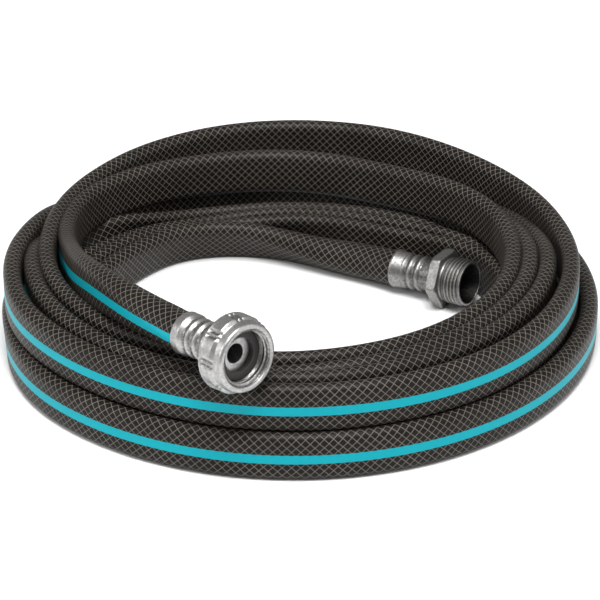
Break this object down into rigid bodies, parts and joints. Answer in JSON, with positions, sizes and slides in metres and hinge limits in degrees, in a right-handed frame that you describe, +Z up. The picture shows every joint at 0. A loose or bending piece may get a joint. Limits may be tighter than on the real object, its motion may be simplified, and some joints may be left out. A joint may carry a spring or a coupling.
{
  "type": "garden hose",
  "caption": "Dark reinforced garden hose with a coloured stripe, pressed flat and wound into a low two-layer coil, with crimped metal couplings on both ends.",
  "frame": {"origin": "on the floor under the middle of the whole part's outline", "axes": "+Z up out of the coil, along its axis and the part's shortest side; -Y towards the side that the female coupling overhangs; the male coupling lies inside the coil on its +X side"},
  "size_m": [0.343, 0.3585, 0.0955],
  "materials": {
    "hose_skin": "semi-gloss dark reinforced PVC with a light yarn lattice and one turquoise stripe",
    "bright_aluminium": "satin, machined",
    "dull_aluminium": "satin, duller",
    "black_rubber": "matt"
  },
  "bodies": {
    "hose": {"hose_coil": "hose_skin", "hose_female_end": "hose_skin", "hose_male_end": "hose_skin", "female_ferrule": "bright_aluminium", "female_tailpiece": "bright_aluminium", "male_ferrule": "dull_aluminium", "male_fitting": "dull_aluminium"},
    "nut": {"swivel_nut": "bright_aluminium", "rubber_washer": "black_rubber"}
  },
  "joints": [
    {"name": "nut_swivel", "type": "hinge", "parent": "hose", "child": "nut", "pos_m": [-0.03198, -0.15779, 0.07423], "axis": [0.6659, -0.7396, 0.0976], "continuous": true}
  ]
}
